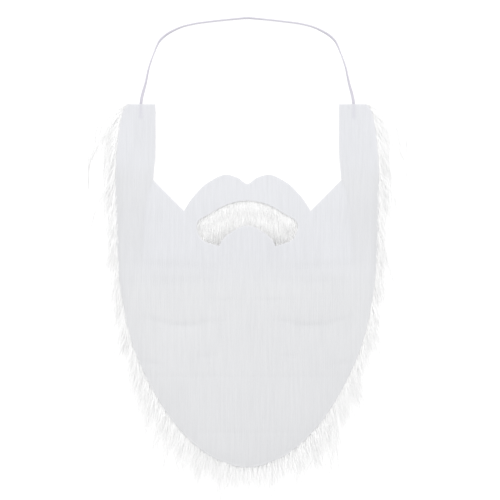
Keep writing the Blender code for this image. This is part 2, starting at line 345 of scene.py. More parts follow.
STRAP_WIDTH = 3.0
STRAP_THICKNESS = 1.1
STRAP_RIBS = 5
STRAP_STEP = 1.6
ROUTE_ROUNDING = 12

strap_path = even_path(smooth_path(mirrored(STRAP_ROUTE[::-1]), ROUTE_ROUNDING), STRAP_STEP)


# %% Sweep the strap's section
def strap_section():
    """The section's outline, with a shallow round rib for each braid cord on both faces."""
    points = []
    columns = STRAP_RIBS * 4
    for face in (1.0, -1.0):
        for column in range(columns + 1):
            across = (column / columns - 0.5) * STRAP_WIDTH * 0.96
            rib = abs(math.sin(math.pi * column * STRAP_RIBS / columns))
            height = STRAP_THICKNESS * (0.36 + 0.14 * rib ** 0.6)
            points.append((across * face, height * face))
    return points


def smooth_piece(name, shape, sharp_degrees):
    """Turns an edited shape into a piece that is smooth, apart from its sharp edges."""
    mesh = bpy.data.meshes.new(name)
    shape.to_mesh(mesh)
    shape.free()
    mesh.shade_smooth()
    mesh.set_sharp_from_angle(angle=math.radians(sharp_degrees))
    return placed(name, mesh)


def sweep(name, path, section):
    """A closed tube of the section along the path, which turns by the path's fourth column."""
    shape = bmesh.new()
    along = shape.verts.layers.float.new("along")
    across = shape.verts.layers.float.new("across")
    rings = []
    passed = 0.0
    for index, point in enumerate(path):
        before = Vector(path[max(index - 1, 0)][:3])
        after = Vector(path[min(index + 1, len(path) - 1)][:3])
        forward = (after - before).normalized()
        side = forward.cross(Vector((0.0, 0.0, 1.0))).normalized()
        over = side.cross(forward)
        turn = Matrix.Rotation(math.radians(point[3]), 3, forward)
        passed += (Vector(point[:3]) - before).length
        ring = []
        for width, height in section:
            vert = shape.verts.new((Vector(point[:3]) + turn @ (side * width + over * height)) * MM)
            vert[along] = passed
            vert[across] = width / STRAP_WIDTH
            ring.append(vert)
        rings.append(ring)
    for first, second in zip(rings, rings[1:]):
        for corner in range(len(section)):
            following = (corner + 1) % len(section)
            shape.faces.new((first[corner], first[following], second[following], second[corner]))
    shape.faces.new(rings[0][::-1])
    shape.faces.new(rings[-1])
    bmesh.ops.recalc_face_normals(shape, faces=shape.faces)
    return smooth_piece(name, shape, 70.0)


strap = sweep("elastic_band", strap_path, strap_section())
print("strap faces:", len(strap.data.polygons))

# %% [markdown]
# A braid's cords cross at a small angle, so its surface is a row of short slanting stitches. Two slanting
# waves, made from the distances stored along and across the band, cross in a bump. The pale lavender is
# painted a little darker in the grooves between the ribs and between the stitches, as painted shade.

# %% The strap's finish
STITCH_TURN = 5.2
STITCH_SLANT = 9.0


def elastic_material():
    material, tree = new_material("braided elastic")
    along = stored_number(tree, "along")
    across = stored_number(tree, "across")
    rib = (across * STRAP_RIBS * math.pi).sine().size()
    slant = (along * STITCH_TURN + across * STITCH_SLANT).sine() * 0.5 + 0.5
    counter = (along * STITCH_TURN - across * STITCH_SLANT).sine() * 0.5 + 0.5
    weave = slant.at_least(counter)
    # Painted shade: the grooves between the ribs and the stitches get the darker lavender.
    shade = rib * 0.25 + weave * 0.45 + 0.3
    colour = mixed_colour(
        tree, shade.at_most(1.0), (0.42, 0.41, 0.455, 1.0), (0.56, 0.545, 0.605, 1.0))
    bump = tree.add("ShaderNodeBump", None, {"Strength": 0.5, "Distance": 0.0002, "Height": weave})
    finish_material(tree, {"Roughness": 0.75, "Sheen Weight": 0.2},
                    {"Base Color": colour, "Normal": bump})
    return material


strap.data.materials.append(elastic_material())
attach(strap, BODY)
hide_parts("elastic_strap")
strap_points = [[value * MM for value in point[:3]] for point in strap_path]

# %% [markdown]
# ## The outline of the cloth
#
# The cut piece has two sideburns, a diagonal from each to a notch, the moustache's two humps, a curved
# mouth hole and a long round chin. Only the right half is listed. Each list is a stretch between two
# corners, so rounding it never softens a corner.

# %% Outline tables
OUTER_EDGE = (
    (0.0, -161.5), (26.0, -155.0), (46.0, -144.0), (67.0, -124.0), (85.0, -100.0),
    (103.0, -67.0), (116.0, -34.0), (124.0, 1.0), (129.0, 36.0), (131.5, 81.0),
    (131.5, 136.0), (128.5, 174.0), (124.5, 195.0),
)
SIDEBURN_TOP = ((124.5, 195.0), (119.5, 202.0), (91.7, 202.0))
INNER_EDGE = ((91.7, 202.0), (91.7, 156.0), (92.7, 142.0), (94.0, 126.0))
CHEEK_EDGE = ((94.0, 126.0), (63.2, 95.0))
MOUSTACHE_EDGE = (
    (0.0, 122.0), (4.0, 124.0), (9.0, 128.0), (20.0, 131.5), (27.5, 130.0),
    (38.5, 124.0), (46.0, 118.0), (56.5, 106.0), (63.2, 95.0),
)
MOUTH_UPPER_EDGE = (
    (0.0, 105.5), (12.0, 104.0), (24.0, 100.0), (36.0, 93.0), (48.0, 86.0),
    (50.5, 78.5), (47.0, 68.5), (41.5, 64.0), (35.0, 62.0), (28.0, 60.0),
)
MOUTH_LOWER_EDGE = (
    (0.0, 80.5), (8.0, 78.5), (14.0, 75.0), (20.0, 71.0), (25.0, 66.0), (28.0, 60.0),
)
ROUNDING = 8


def cloth_ring(pitch):
    """The cut line, once round, counterclockwise from the top of the left sideburn."""
    right = []
    for stretch in (SIDEBURN_TOP, smooth_path(INNER_EDGE, ROUNDING), CHEEK_EDGE):
        right += even_path(stretch, pitch)[:-1]
    left = [(-x, y) for x, y in reversed(right)]
    outer = even_path(smooth_path(mirrored(OUTER_EDGE), ROUNDING), pitch)
    moustache = even_path(smooth_path(mirrored(MOUSTACHE_EDGE), ROUNDING), pitch)
    return outer + right[1:] + moustache[::-1] + left[:-1]


def mouth_ring(pitch):
    """The mouth hole's edge, clockwise."""
    upper = even_path(smooth_path(mirrored(MOUTH_UPPER_EDGE), ROUNDING), pitch)
    lower = even_path(smooth_path(mirrored(MOUTH_LOWER_EDGE), ROUNDING), pitch)
    return upper + lower[::-1][1:-1]


print("cut line points at 2 mm:", len(cloth_ring(2.0)), "mouth:", len(mouth_ring(2.0)))

# %% [markdown]
# ## The height of the cloth
#
# The cloth rests on its pile: flat and low at the sideburns, crowned over the chin, and sinking at the
# rim where the pile can spread. On that broad form lie the folds: a long dart below each sideburn's
# inner corner, and creases from the folded shipping bag. Each crease is a row of a table.

# %% The relief
SIDEBURN_TOP_Z = 12.0
CHEEK_RISE = 5.5
RIM_DROP = 4.6
RIM_REACH = 13.0
FLAT_ABOVE_Y = 150.0
FULL_BELOW_Y = 96.0
CLOTH_THICKNESS = 1.2

# Middle x and y, direction in degrees, half length, half width, depth
FOLDS = (
    (103.0, 84.0, 86.0, 60.0, 11.0, 1.6),
    (66.0, -20.0, 176.0, 40.0, 11.0, 1.4),
    (0.0, 40.0, 0.0, 60.0, 12.0, 1.0),
)
CREASES = (
    (64.0, -19.0, 3.0, 17.0, 2.6, 0.8),
    (42.0, -16.0, -8.0, 14.0, 2.4, 0.5),
    (91.0, -14.0, 14.0, 12.0, 2.6, 0.5),
    (95.0, -57.0, 8.0, 9.0, 2.4, 0.5),
    (42.0, -50.0, -4.0, 9.0, 2.4, 0.4),
    (24.0, 6.0, 0.0, 15.0, 2.6, 0.4),
    (70.0, 40.0, 4.0, 44.0, 5.0, 0.5),
    (60.0, 26.0, -3.0, 50.0, 6.0, 0.5),
    (50.0, -70.0, 0.0, 60.0, 2.0, 0.3),
    (20.0, -126.0, 0.0, 44.0, 1.6, 0.3),
)
DART = ((94.0, 126.0), (100.0, 111.0), (102.5, 96.0), (104.5, 66.0), (105.5, 36.0))
DART_DEPTH = 0.45
DART_WIDTH = 2.2
STRIP_DROP = 0.8


def segment_distance(x, y, start, end):
    """How far a point is from a straight stretch."""
    run_x, run_y = end[0] - start[0], end[1] - start[1]
    share = ((x - start[0]) * run_x + (y - start[1]) * run_y) / (run_x ** 2 + run_y ** 2)
    share = min(max(share, 0.0), 1.0)
    return math.hypot(x - start[0] - share * run_x, y - start[1] - share * run_y)


def line_distance(x, y, line):
    """How far a point is from a line of the right half, or from its mirrored line."""
    return min(segment_distance(abs(x), y, start, end) for start, end in zip(line, line[1:]))


def dent(x, y, table):
    """How deep the table's folds are at a point. Each is a long soft trough."""
    depth = 0.0
    for middle_x, middle_y, turn, half_length, half_width, deepest in table:
        angle = math.radians(turn)
        off_x, off_y = abs(x) - middle_x, y - middle_y
        along = (off_x * math.cos(angle) + off_y * math.sin(angle)) / half_length
        across = (off_y * math.cos(angle) - off_x * math.sin(angle)) / half_width
        depth += deepest * math.exp(-along * along - across * across)
    return depth


def dart_dent(x, y):
    fade = smooth_step(30.0, 84.0, y)
    return DART_DEPTH * fade * math.exp(-(line_distance(x, y, DART) / DART_WIDTH) ** 2)


def broad_top(x, y):
    """The form that the cloth and the pile share."""
    crowned = smooth_step(FLAT_ABOVE_Y, FULL_BELOW_Y, y)
    drop = RIM_DROP * math.exp(-line_distance(x, y, OUTER_EDGE) / RIM_REACH)
    return SIDEBURN_TOP_Z + crowned * (CHEEK_RISE - drop - dent(x, y, FOLDS))


def strip_mark(x, y):
    """1 on the strip outside the dart, where the cloth turns down towards its cut edge."""
    reach = sorted((point[1], point[0]) for point in DART)
    line_x = reach[0][1]
    for (low_y, low_x), (high_y, high_x) in zip(reach, reach[1:]):
        if y > low_y:
            line_x = low_x + (high_x - low_x) * min((y - low_y) / (high_y - low_y), 1.0)
    fade = smooth_step(10.0, 70.0, y) * smooth_step(150.0, 122.0, y)
    return smooth_step(-1.4, 1.4, abs(x) - line_x) * fade


def crease_dent(x, y):
    return dent(x, y, CREASES) + dart_dent(x, y) + STRIP_DROP * strip_mark(x, y)


def waviness(x, y):
    """The slight unevenness of a soft knit that lies on fur."""
    wide = noise.noise(Vector((x / 46.0, y / 60.0, 3.1)))
    fine = noise.noise(Vector((x / 15.0, y / 22.0, 8.7)))
    return 0.45 * wide + 0.16 * fine


def cloth_top(x, y):
    return broad_top(x, y) - crease_dent(x, y) + waviness(x, y)


print("height of the crown in mm:", round(cloth_top(0.0, 0.0), 1))
print("height of a sideburn in mm:", round(cloth_top(106.0, 180.0), 1))

# %% [markdown]
# ## Cutting a sheet
#
# A sheet with a curved outline and a hole is awkward to make from a grid. A constrained triangulation is
# simpler: it takes the outline, a second line just inside it and a field of points, and gives triangles
# that keep the outline exactly. The second line lets the rim be rounded. The sheet is then doubled, and
# its two skins are joined round the rim, so that it is a closed thin wall.

# %% Cut a sheet from its outline
def inset(ring, distance):
    """The ring moved to its left by a small distance, which is inwards for both rings here."""
    moved = []
    for index, (x, y) in enumerate(ring):
        before, after = ring[index - 1], ring[(index + 1) % len(ring)]
        run_x, run_y = after[0] - before[0], after[1] - before[1]
        run = math.hypot(run_x, run_y)
        moved.append((x - run_y / run * distance, y + run_x / run * distance))
    return moved


def inside(x, y, ring):
    found = False
    for (x1, y1), (x2, y2) in zip(ring, ring[1:] + ring[:1]):
        if (y1 > y) != (y2 > y) and x < x1 + (y - y1) / (y2 - y1) * (x2 - x1):
            found = not found
    return found


def cut_sheet(rings, insets, spacing):
    """Triangles that fill the rings, with lines of points at the insets and a field inside them."""
    points = []
    edges = []
    for ring in rings:
        for distance in insets:
            line = inset(ring, distance) if distance else ring
            start = len(points)
            points += line
            if not distance:
                edges += [(start + i, start + (i + 1) % len(line)) for i in range(len(line))]
    limit = [inset(ring, insets[-1] + spacing * 0.5) for ring in rings]
    width = max(x for x, _ in rings[0])
    low, high = min(y for _, y in rings[0]), max(y for _, y in rings[0])
    row_height = spacing * math.sqrt(3.0) / 2.0
    for row in range(1, int((high - low) / row_height)):
        y = low + row * row_height
        columns = int(width / spacing) + 1
        for column in range(-columns, columns + 1):
            x = (column + (row % 2) / 2.0) * spacing
            if inside(x, y, limit[0]) and not any(inside(x, y, hole) for hole in limit[1:]):
                points.append((x, y))
    flat = [Vector(point) for point in points]
    verts, _, faces, _, _, _ = geometry.delaunay_2d_cdt(flat, edges, [], 1, 0.0001)
    middles = [sum((verts[corner] for corner in face), Vector((0.0, 0.0))) / 3.0 for face in faces]
    kept = [face for face, middle in zip(faces, middles)
            if not any(inside(*middle, hole) for hole in rings[1:])]
    return [tuple(vert) for vert in verts], kept


def thick_sheet(name, flat, faces, top, bottom):
    """A closed wall between two height functions, over one flat triangulation."""
    shape = bmesh.new()
    upper = [shape.verts.new((x, y, top(x, y))) for x, y in flat]
    lower = [shape.verts.new((x, y, bottom(x, y))) for x, y in flat]
    for face in faces:
        shape.faces.new([upper[corner] for corner in face])
        shape.faces.new([lower[corner] for corner in reversed(face)])
    pair = dict(zip(upper, lower))
    for edge in [edge for edge in shape.edges if edge.is_boundary and edge.verts[0] in pair]:
        first, second = edge.verts
        shape.faces.new((first, second, pair[second], pair[first]))
    loose = [vert for vert in shape.verts if not vert.link_faces]
    bmesh.ops.delete(shape, geom=loose, context="VERTS")
    bmesh.ops.recalc_face_normals(shape, faces=shape.faces)
    bmesh.ops.scale(shape, vec=(MM, MM, MM), verts=shape.verts)
    return smooth_piece(name, shape, 75.0)


def ring_distance(x, y, rings):
    return min(segment_distance(x, y, start, end)
               for ring in rings for start, end in zip(ring, ring[1:] + ring[:1]))


# %% [markdown]
# ## The backing cloth
#
# The knit is 1.2 mm thick and its cut edge is soft, so the top skin dips at the rim. Over the two sewn
# ends of the elastic it stands a little proud. Marks stored on its points tell the finish where a crease,
# a sewn end, the rim, the turned strip and the outer edge lie. Over a sewn end the elastic's lavender
# shows through. The creases, the turned strip and the outer edge get painted shade, and the rim gets a
# painted highlight.

# %% Make the cloth
CLOTH_SPACING = 2.2
RIM_INSETS = (0.0, 0.7, 1.8)
RIM_ROUND = 0.2
TAIL_RISE = 0.55
TAIL_END_Y = 188.0
TAIL_X = 106.5

cloth_rings = [cloth_ring(1.8), mouth_ring(1.8)]
coarse_rings = [cloth_ring(9.0), mouth_ring(6.0)]


def rim_share(x, y):
    """1 at the very rim, falling to 0 within 2 mm."""
    near = ring_distance(x, y, coarse_rings)
    if near > 6.0:
        return 0.0
    return math.exp(-(ring_distance(x, y, cloth_rings) / 0.6) ** 2)


def tail_mark(x, y):
    """1 over a sewn end of the elastic."""
    across = math.exp(-((abs(x) - TAIL_X) / 1.7) ** 4)
    return across * smooth_step(TAIL_END_Y - 2.0, TAIL_END_Y + 0.5, y)


def edge_shade_mark(x, y):
    """1 along the outer cut edge beside the cheeks, falling to 0 within 9 mm, where painted shade darkens
    the knit as it curves down.
    """
    fade = smooth_step(160.0, 110.0, y) * smooth_step(-40.0, 40.0, y)
    return fade * math.exp(-(line_distance(x, y, OUTER_EDGE) / 4.5) ** 2)


def knit_top(x, y):
    return cloth_top(x, y) + TAIL_RISE * tail_mark(x, y) - RIM_ROUND * rim_share(x, y)


def knit_bottom(x, y):
    return broad_top(x, y) - crease_dent(x, y) * 0.5 - CLOTH_THICKNESS


def store_marks(piece, marks):
    """Stores each mark, a function of x and y in mm, as a number on every vertex."""
    for name, mark in marks.items():
        layer = piece.data.attributes.new(name, "FLOAT", "POINT")
        values = [mark(vert.co.x / MM, vert.co.y / MM) for vert in piece.data.vertices]
        layer.data.foreach_set("value", values)


flat_points, flat_faces = cut_sheet(cloth_rings, RIM_INSETS, CLOTH_SPACING)
cloth = thick_sheet("backing_cloth", flat_points, flat_faces, knit_top, knit_bottom)
store_marks(cloth, {"crease": lambda x, y: dent(x, y, CREASES) + dart_dent(x, y),
                    "tail": tail_mark, "rim": rim_share, "strip": strip_mark, "edge": edge_shade_mark})
print("cloth faces:", len(cloth.data.polygons))

# %% [markdown]
# Warp-knit backing has fine upright ribs about 1.7 mm apart, each a column of small loops, and no two
# columns are equally bright. The ribs come from a sine of x that noise bends slightly, the loops from a
# faster sine of y, and the uneven brightness from noise stretched along y. The ribs and loops also get a
# little painted shade. All of it is quiet: the knit is nearly white and bluish at the top, and painted
# shade makes it a little greyer towards the chin, where the cloth slopes down.

# %% The cloth's finish
RIB_PITCH = 1.75
LOOP_PITCH = 1.3


def knit_material():
    material, tree = new_material("knitted backing")
    place, (x, y, _) = object_place(tree)
    bend = tree.add("ShaderNodeTexNoise", None, {"Vector": place, "Scale": 60.0, "Detail": 2.0})
    across = x / (RIB_PITCH * MM) + bend * 0.9
    rib = (across * 2.0 * math.pi).sine() * 0.5 + 0.5
    loop = (y * (2.0 * math.pi / (LOOP_PITCH * MM)) + rib * math.pi).sine() * 0.5 + 0.5
    stretch = tree.add("ShaderNodeMapping", None, {"Vector": place, "Scale": (420.0, 26.0, 1.0)})
    streak = tree.add("ShaderNodeTexNoise", None, {"Vector": stretch, "Scale": 1.0, "Detail": 3.0})
    patch = tree.add("ShaderNodeTexNoise", None, {"Vector": place, "Scale": 18.0, "Detail": 3.0})
    crease, tail, rim, strip, edge = [
        stored_number(tree, name) for name in ("crease", "tail", "rim", "strip", "edge")]
    below_chin = ((0.052 - y) / 0.038).at_least(0.0).at_most(1.0)
    fresh = mixed_colour(tree, below_chin, (0.614, 0.620, 0.645, 1.0), (0.613, 0.617, 0.629, 1.0))
    # Painted shade: greyer towards the chin, where the cloth slopes down.
    down = ((0.03 - y) / 0.18).at_least(0.0).at_most(1.0)
    chin_shaded = mixed_colour(tree, down, fresh, (0.598, 0.601, 0.614, 1.0))
    # Painted shade on the strip outside the dart and along the outer edge, where the knit turns down.
    slope_shaded = mixed_colour(
        tree, (strip * 0.6 + edge * 0.5).at_most(1.0), chin_shaded, (0.582, 0.586, 0.598, 1.0))
    # The streaks and patches are the knit's own uneven tone. The ribs, loops, creases and outer edge add
    # painted shade.
    shade = (rib * patch * 0.15 + streak * 0.6 + patch * 0.2 + loop * 0.04 + crease * 0.18
             + edge * 0.1 - 0.32)
    toned_and_shaded = mixed_colour(
        tree, shade.at_least(0.0).at_most(1.0), slope_shaded, (0.49, 0.495, 0.512, 1.0))
    taped = mixed_colour(tree, (tail * 0.75).at_most(1.0), toned_and_shaded, (0.535, 0.53, 0.575, 1.0))
    # Painted highlight along the very rim of the cut and of the mouth hole.
    colour = mixed_colour(tree, (rim * 0.45).at_most(1.0), taped, (0.70, 0.70, 0.715, 1.0))
    height = rib * 0.7 + loop * 0.3 + streak * 0.5
    bump = tree.add("ShaderNodeBump", None, {"Strength": 0.45, "Distance": 0.0004, "Height": height})
    finish_material(tree, {"Roughness": 0.92, "Sheen Weight": 0.15},
                    {"Base Color": colour, "Normal": bump})
    return material


cloth.data.materials.append(knit_material())
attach(cloth, BODY)
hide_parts("backing")
cut_area = sum(geometry.area_tri(*[Vector(flat_points[i]) for i in face]) for face in flat_faces)
print("cut area in square metres:", round(cut_area * MM * MM, 4))

# %% [markdown]
# ## The root layer of the pile
#
# Near the knit the hairs stand so close that they look solid. That layer is a slab under the cloth, a
# little smaller than the cut, which stops the eye and the light between the longer strands.

# %% Make the root layer
PILE_BOTTOM_Z = 3.4
PILE_INSET = 0.8
PILE_SPACING = 6.0
PILE_LINES = (0.0, 2.5)
PILE_GAP = 0.15


def pile_top(x, y):
    return knit_bottom(x, y) - PILE_GAP - 0.5 * tail_mark(x, y)


def pile_bottom(x, y):
    return PILE_BOTTOM_Z + 0.5 * noise.noise(Vector((x / 4.0, y / 14.0, 1.7)))


pile_rings = [inset(ring, PILE_INSET) for ring in (cloth_ring(3.0), mouth_ring(3.0))]
pile_points, pile_faces = cut_sheet(pile_rings, PILE_LINES, PILE_SPACING)
pile = thick_sheet("pile_roots", pile_points, pile_faces, pile_top, pile_bottom)
print("root layer faces:", len(pile.data.polygons))

# %% [markdown]
# The moustache's pile crosses the mouth hole below the knit. Its dense part is a thin mat, a little larger
# than the hole, that hangs from the root layer's inner wall.

# %% Make the moustache's mat
MAT_REACH = 4.0
MAT_TOP_Z = 6.0
MAT_BOTTOM_Z = 3.0
MAT_SPACING = 3.5
MAT_LINES = (0.0, 2.0)


def mat_top(x, y):
    return MAT_TOP_Z + 0.5 * noise.noise(Vector((x / 3.0, y / 16.0, 4.2)))


def mat_bottom(x, y):
    return MAT_BOTTOM_Z + 0.3 * noise.noise(Vector((x / 3.0, y / 16.0, 9.2)))


mat_ring = inset(mouth_ring(4.0), MAT_REACH)[::-1]
mat_points, mat_faces = cut_sheet([mat_ring], MAT_LINES, MAT_SPACING)
mat = thick_sheet("moustache_mat", mat_points, mat_faces, mat_top, mat_bottom)
print("mat faces:", len(mat.data.polygons))

# %% [markdown]
# ## Locks
#
# Fur hangs in locks. A lock is a middle line that leaves its root at one lean and turns to another,
# measured from the chin's direction, outwards. The fringe reads its leans from a short table along the
# cut's outer edge. Every lock is written as one point that carries its numbers.

# %% Lay out the locks
# Share of the edge from the chin up, lean at the root, lean at the tip, length
FRINGE = (
    (0.00, 0.0, 0.0, 54.0),
    (0.12, 10.0, 6.0, 60.0),
    (0.22, 14.0, 9.0, 66.0),
    (0.32, 10.0, 5.0, 65.0),
    (0.40, 7.0, 3.0, 62.0),
    (0.48, 6.0, 2.0, 61.0),
    (0.60, 7.0, 0.0, 64.0),
    (0.72, 9.0, 0.0, 68.0),
    (0.80, 16.0, 2.0, 74.0),
    (0.87, 22.0, 3.0, 70.0),
    (0.93, 38.0, 6.0, 75.0),
    (0.97, 58.0, 9.0, 84.0),
    (1.00, 84.0, 14.0, 98.0),
)
LOCK_FACTS = ("root_lean", "tip_lean", "length", "half_width", "half_depth", "tip_z", "ceiling")
CEILING_GAP = 0.25


def table_value(table, share):
    """One row of a table, read between its rows by its first column."""
    for low, high in zip(table, table[1:]):
        if share <= high[0]:
            part = (share - low[0]) / (high[0] - low[0])
            return tuple(a + (b - a) * part for a, b in zip(low, high))
    return table[-1]


def lock(x, y, z, root_lean, tip_lean, length, half_width, half_depth, tip_z):
    """A lock's root in mm with its facts, whose lengths are in metres and angles in radians."""
    ceiling = broad_top(x, y) - CLOTH_THICKNESS - CEILING_GAP
    facts = (math.radians(root_lean), math.radians(tip_lean), length * MM,
             half_width * MM, half_depth * MM, tip_z * MM, ceiling * MM)
    return (x * MM, y * MM, z * MM), facts


# How far in the roots lie, their depth below the cloth, height of the tips, share of the full length,
# unevenness of the lean in degrees, distance between locks, half width
FRINGE_LAYERS = (
    (3.0, 0.3, 9.0, 0.38, 7.0, 2.2, 3.2),
    (4.0, 2.6, 6.0, 0.58, 7.0, 3.8, 3.4),
    (6.0, 5.6, 2.0, 0.94, 8.0, 7.5, 3.4),
    (4.0, 4.0, 0.8, 1.32, 11.0, 8.5, 1.8),
)


def fringe_locks(side):
    """Layers of locks along one outer edge, each longer and ending lower than the last."""
    chance = random.Random(11)
    locks = []
    line = smooth_path(OUTER_EDGE, ROUNDING) + [SIDEBURN_TOP[1]]
    for inward, depth, tip_z, reach, uneven, pitch, half_width in FRINGE_LAYERS:
        edge = even_path(line, pitch)
        for index in range(len(edge) - 1):
            (x1, y1), (x2, y2) = edge[index], edge[index + 1]
            run = math.hypot(x2 - x1, y2 - y1)
            part = chance.random()
            share = (index + part) / (len(edge) - 1)
            narrow = 1.0 - 0.75 * smooth_step(0.86, 1.0, share)
            deep = (inward + chance.uniform(-1.5, 1.5)) * narrow
            x = x1 + (x2 - x1) * part - (y2 - y1) / run * deep
            y = y1 + (y2 - y1) * part + (x2 - x1) / run * deep
            root_z = broad_top(x, y) - CLOTH_THICKNESS - CEILING_GAP - depth
            row = table_value(FRINGE, share)
            root_lean = row[1] + chance.gauss(0.0, uneven)
            tip_lean = row[2] + chance.gauss(0.0, uneven)
            locks.append(lock(side * x, y, root_z, side * root_lean, side * tip_lean,
                              row[3] * reach * chance.uniform(0.82, 1.06),
                              half_width * chance.uniform(0.7, 1.3), 1.0, tip_z))
    return locks


right_fringe = fringe_locks(1.0)
left_fringe = fringe_locks(-1.0)
print("fringe locks:", len(right_fringe) + len(left_fringe))

# %% [markdown]
# The face side is covered in staggered rows. Hair higher on the beard lies over the hair below it, so each
# lock starts near the root layer and ends near the floor. The moustache's locks start above the mouth hole
# and cross it, which is why fur shows through the hole.

# %% Face and moustache locks
# y of the roots, lowest and highest |x|
ROWS = (
    (198.0, 97.0, 117.0),
    (176.0, 97.0, 122.0),
    (154.0, 97.0, 124.0),
    (132.0, 98.0, 125.0),
    (110.0, 84.0, 125.0),
    (90.0, 60.0, 124.0),
    (70.0, 56.0, 123.0),
    (50.0, 4.0, 121.0),
    (30.0, 4.0, 119.0),
    (10.0, 4.0, 116.0),
    (-10.0, 4.0, 111.0),
    (-30.0, 4.0, 106.0),
    (-50.0, 4.0, 98.0),
    (-70.0, 4.0, 89.0),
    (-90.0, 4.0, 77.0),
    (-110.0, 4.0, 63.0),
    (-130.0, 4.0, 42.0),
)
FACE_PITCH = 9.0
FACE_LENGTH = 60.0
FACE_LEAN_AT_EDGE = 16.0


def face_locks():
    chance = random.Random(23)
    locks = []
    for row, (y, low_x, high_x) in enumerate(ROWS):
        count = max(round((high_x - low_x) / FACE_PITCH), 2)
        for index in range(count + 1):
            x = low_x + (high_x - low_x) * (index + 0.5 * (row % 2) - 0.25) / count
            x = min(x, high_x)
            lean = FACE_LEAN_AT_EDGE * x / high_x
            for side in (1.0, -1.0):
                turn = side * lean + chance.gauss(0.0, 5.0)
                locks.append(lock(side * x, min(y + chance.uniform(-6.0, 6.0), 196.0), 4.0, turn,
                                  turn + chance.gauss(0.0, 6.0),
                                  FACE_LENGTH * chance.uniform(0.85, 1.05),
                                  chance.uniform(4.0, 6.0), 1.3, chance.uniform(1.6, 2.4)))
    return locks


MOUTH_PITCH = 2.0
MOUTH_INSET = 4.0
# Height of the roots and of the tips, length
LIP_LAYERS = ((15.2, 11.4, 20.0), (14.2, 9.4, 26.0), (12.6, 8.0, 30.0))
MOUTH_LAYERS = ((11.0, 7.6, 64.0), (9.0, 7.0, 66.0), (7.4, 6.2, 68.0))


def upper_rim(x):
    """The y of the mouth hole's upper edge."""
    rim = smooth_path(MOUTH_UPPER_EDGE, ROUNDING)
    for (x1, y1), (x2, y2) in zip(rim, rim[1:]):
        if abs(x) <= x2:
            return y1 + (y2 - y1) * (abs(x) - x1) / (x2 - x1)
    return min(rim)[1]


def moustache_locks(layers, spread, seed):
    """Locks that start above the mouth hole and cross it."""
    chance = random.Random(seed)
    half_span = max(x for x, _ in MOUTH_UPPER_EDGE) - 0.5
    count = round(2.0 * half_span / MOUTH_PITCH)
    locks = []
    for root_z, tip_z, length in layers:
        for index in range(count + 1):
            x = half_span * (2.0 * index / count - 1.0)
            y = upper_rim(x) + MOUTH_INSET + chance.uniform(-1.5, 1.5)
            lean = 14.0 * x / half_span
            locks.append(lock(x + chance.uniform(-0.8, 0.8), y, root_z,
                              lean + chance.gauss(0.0, 6.0), lean + chance.gauss(0.0, 6.0),
                              length * chance.uniform(0.85, 1.0), spread, 0.8, tip_z))
    return locks


face = face_locks()
lip = moustache_locks(LIP_LAYERS, 3.0, 31)
moustache = moustache_locks(MOUTH_LAYERS, 5.0, 37)
print("face locks:", len(face), "moustache locks:", len(moustache))

# %% [markdown]
# ## A strand generator
#
# One Geometry Nodes tree grows every strand. It copies each lock's point once for each strand, stores a
# few random numbers on the copies, and puts a plain line on each. The line's points are then placed by a
# formula: forward by the lock's turning lean, sideways by the strand's own place in the lock, which
# narrows towards the tip, and down to the tip's height. A three-sided tube gives the strand its body, and
# is turned by a random angle, because tubes that all lie the same way would shade one side of the beard.

# %% Build the strand tree
STRAND_INPUTS = (
    ("Strands per lock", "NodeSocketInt", 20),
    ("Strand radius", "NodeSocketFloat", 0.0002),
    ("Points per strand", "NodeSocketInt", 5),
    ("Tip share", "NodeSocketFloat", 0.5),
    ("Drop curve", "NodeSocketFloat", 1.5),
    ("Shortest", "NodeSocketFloat", 0.5),
    ("Longest", "NodeSocketFloat", 1.0),
    ("Waviness", "NodeSocketFloat", 0.0008),
    ("Looseness", "NodeSocketFloat", 0.12),
    ("Seed", "NodeSocketInt", 1),
    ("Finish", "NodeSocketMaterial", None),
)
# No strand reaches past these, in metres, so that the fur stays near the box of the solids
SIDE_LIMIT = 0.160
CHIN_LIMIT = 0.216
FAR_ABOVE = 1.0
LIMIT_BLEND = 0.02
LOWEST_HAIR = 0.0004
TAPER = 0.8
TUBE_SIDES = 3
RANDOM_LOW, RANDOM_HIGH, RANDOM_SEED, RANDOM_NUMBER = 2, 3, 8, 1


